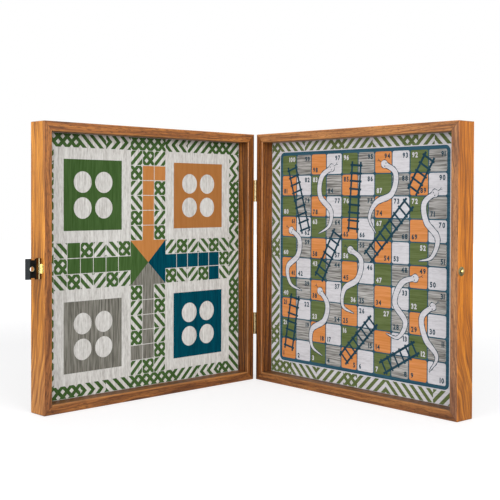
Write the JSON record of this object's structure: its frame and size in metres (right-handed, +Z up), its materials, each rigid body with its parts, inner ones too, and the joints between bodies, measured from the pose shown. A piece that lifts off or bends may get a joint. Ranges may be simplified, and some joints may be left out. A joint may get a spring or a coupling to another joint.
{
  "type": "games compendium box",
  "caption": "Hinged wooden games case, two framed trays that open like a book, with a printed game board on each inner and outer face.",
  "frame": {"origin": "middle of the underside of the ludo tray, on the surface the box stands on", "axes": "+Z up along the hinge pins; the ludo tray lies along X with its hinge side at +X; its rim and hollow face -Y; the snakes tray swings at +X"},
  "size_m": [0.3911, 0.3734, 0.34],
  "materials": {
    "frame_wood": "satin oiled",
    "core_board": "raw",
    "printed_veneer": "matte lacquered print",
    "dark_veneer": "satin lacquer",
    "brass": "polished",
    "dark_brass": "antiqued, darkened"
  },
  "bodies": {
    "ludo_tray": {"chess_board": "dark_veneer", "latch_base": "brass", "latch_nails": "brass", "latch_pin": "brass", "lower_hinge_ludo_leaf": "brass", "lower_hinge_ludo_screws": "brass", "lower_hinge_pin": "brass", "ludo_board": "printed_veneer", "ludo_bottom_rail": "frame_wood", "ludo_core_panel": "core_board", "ludo_hinge_stile": "frame_wood", "ludo_latch_stile": "frame_wood", "ludo_top_rail": "frame_wood", "upper_hinge_ludo_leaf": "brass", "upper_hinge_ludo_screws": "brass", "upper_hinge_pin": "brass"},
    "snakes_tray": {"backgammon_board": "dark_veneer", "catch_rosette": "brass", "catch_stud": "brass", "lower_hinge_snakes_leaf": "brass", "lower_hinge_snakes_screws": "brass", "snakes_board": "printed_veneer", "snakes_bottom_rail": "frame_wood", "snakes_core_panel": "core_board", "snakes_hinge_stile": "frame_wood", "snakes_stud_stile": "frame_wood", "snakes_top_rail": "frame_wood", "upper_hinge_snakes_leaf": "brass", "upper_hinge_snakes_screws": "brass"},
    "latch": {"latch_flap": "dark_brass"}
  },
  "joints": [
    {"name": "tray_fold", "type": "hinge", "parent": "ludo_tray", "child": "snakes_tray", "pos_m": [0.1723, -0.01415, 0.17], "axis": [0, 0, 1], "range_deg": [-86.7, 93.3]},
    {"name": "latch_turn", "type": "hinge", "parent": "ludo_tray", "child": "latch", "pos_m": [-0.1722, -0.0087, 0.17], "axis": [0, 0, 1], "range_deg": [-90, 90]}
  ]
}
